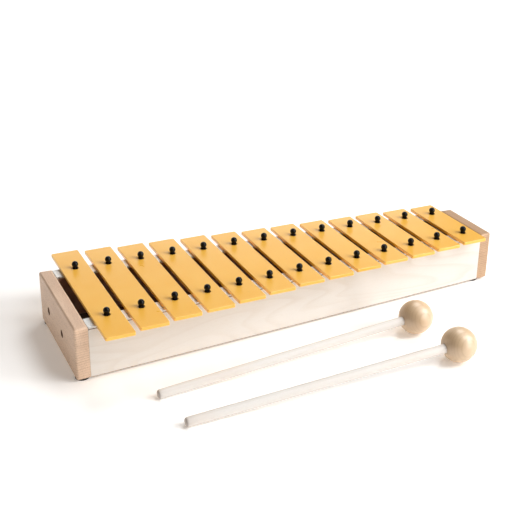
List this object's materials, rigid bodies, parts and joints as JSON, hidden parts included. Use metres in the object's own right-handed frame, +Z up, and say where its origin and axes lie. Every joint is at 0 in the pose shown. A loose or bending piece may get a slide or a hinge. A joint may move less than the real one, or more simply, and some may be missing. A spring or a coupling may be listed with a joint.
{
  "type": "glockenspiel",
  "caption": "Diatonic glockenspiel: gold-lacquered steel bars on felt over a tapering birch case with beech ends, held by ball-headed pins, with wooden ball mallets.",
  "frame": {"origin": "On the floor, at the middle of the box round the whole set, case and mallets together.", "axes": "+X runs along the row of bars from the low notes to the high notes, +Y points away from the player, +Z is up."},
  "size_m": [0.4194, 0.2518, 0.0575],
  "materials": {
    "beech": "sanded beech under thin matt lacquer",
    "birch_plywood": "pale birch plywood under thin matt lacquer",
    "hardboard": "dark brown hardboard, smooth side up",
    "white_felt": "pressed wool felt",
    "gold_bar": "satin gold lacquer on steel",
    "black_pin": "gloss black coated steel",
    "sleeve_rubber": "black rubber tube",
    "foot_rubber": "black rubber pad",
    "maple": "turned, sanded pale hardwood"
  },
  "bodies": {
    "case": {"left_end_block": "beech", "right_end_block": "beech", "front_panel": "birch_plywood", "rear_panel": "birch_plywood", "bottom_board": "hardboard", "left_dowels": "beech", "right_dowels": "beech", "front_felt": "white_felt", "rear_felt": "white_felt", "foot_front_left": "foot_rubber", "foot_rear_left": "foot_rubber", "foot_front_right": "foot_rubber", "foot_rear_right": "foot_rubber", "front_pins": "black_pin", "rear_pins": "black_pin", "front_pin_sleeves": "sleeve_rubber", "rear_pin_sleeves": "sleeve_rubber"},
    "bar_c5": {"bar_c5": "gold_bar"},
    "bar_d5": {"bar_d5": "gold_bar"},
    "bar_e5": {"bar_e5": "gold_bar"},
    "bar_f5": {"bar_f5": "gold_bar"},
    "bar_g5": {"bar_g5": "gold_bar"},
    "bar_a5": {"bar_a5": "gold_bar"},
    "bar_b5": {"bar_b5": "gold_bar"},
    "bar_c6": {"bar_c6": "gold_bar"},
    "bar_d6": {"bar_d6": "gold_bar"},
    "bar_e6": {"bar_e6": "gold_bar"},
    "bar_f6": {"bar_f6": "gold_bar"},
    "bar_g6": {"bar_g6": "gold_bar"},
    "bar_a6": {"bar_a6": "gold_bar"},
    "mallet_1": {"mallet_1_head": "maple", "mallet_1_stick": "maple"},
    "mallet_2": {"mallet_2_head": "maple", "mallet_2_stick": "maple"}
  },
  "joints": [
    {"name": "bar_c5_lift", "type": "slide", "parent": "case", "child": "bar_c5", "axis": [0, 0, 1], "range_m": [0, 0.03]},
    {"name": "bar_d5_lift", "type": "slide", "parent": "case", "child": "bar_d5", "axis": [0, 0, 1], "range_m": [0, 0.03]},
    {"name": "bar_e5_lift", "type": "slide", "parent": "case", "child": "bar_e5", "axis": [0, 0, 1], "range_m": [0, 0.03]},
    {"name": "bar_f5_lift", "type": "slide", "parent": "case", "child": "bar_f5", "axis": [0, 0, 1], "range_m": [0, 0.03]},
    {"name": "bar_g5_lift", "type": "slide", "parent": "case", "child": "bar_g5", "axis": [0, 0, 1], "range_m": [0, 0.03]},
    {"name": "bar_a5_lift", "type": "slide", "parent": "case", "child": "bar_a5", "axis": [0, 0, 1], "range_m": [0, 0.03]},
    {"name": "bar_b5_lift", "type": "slide", "parent": "case", "child": "bar_b5", "axis": [0, 0, 1], "range_m": [0, 0.03]},
    {"name": "bar_c6_lift", "type": "slide", "parent": "case", "child": "bar_c6", "axis": [0, 0, 1], "range_m": [0, 0.03]},
    {"name": "bar_d6_lift", "type": "slide", "parent": "case", "child": "bar_d6", "axis": [0, 0, 1], "range_m": [0, 0.03]},
    {"name": "bar_e6_lift", "type": "slide", "parent": "case", "child": "bar_e6", "axis": [0, 0, 1], "range_m": [0, 0.03]},
    {"name": "bar_f6_lift", "type": "slide", "parent": "case", "child": "bar_f6", "axis": [0, 0, 1], "range_m": [0, 0.03]},
    {"name": "bar_g6_lift", "type": "slide", "parent": "case", "child": "bar_g6", "axis": [0, 0, 1], "range_m": [0, 0.03]},
    {"name": "bar_a6_lift", "type": "slide", "parent": "case", "child": "bar_a6", "axis": [0, 0, 1], "range_m": [0, 0.03]},
    {"name": "mallet_1_pick_up", "type": "slide", "parent": "case", "child": "mallet_1", "axis": [0, 0, 1], "range_m": [0, 0.12]},
    {"name": "mallet_2_pick_up", "type": "slide", "parent": "case", "child": "mallet_2", "axis": [0, 0, 1], "range_m": [0, 0.12]}
  ]
}
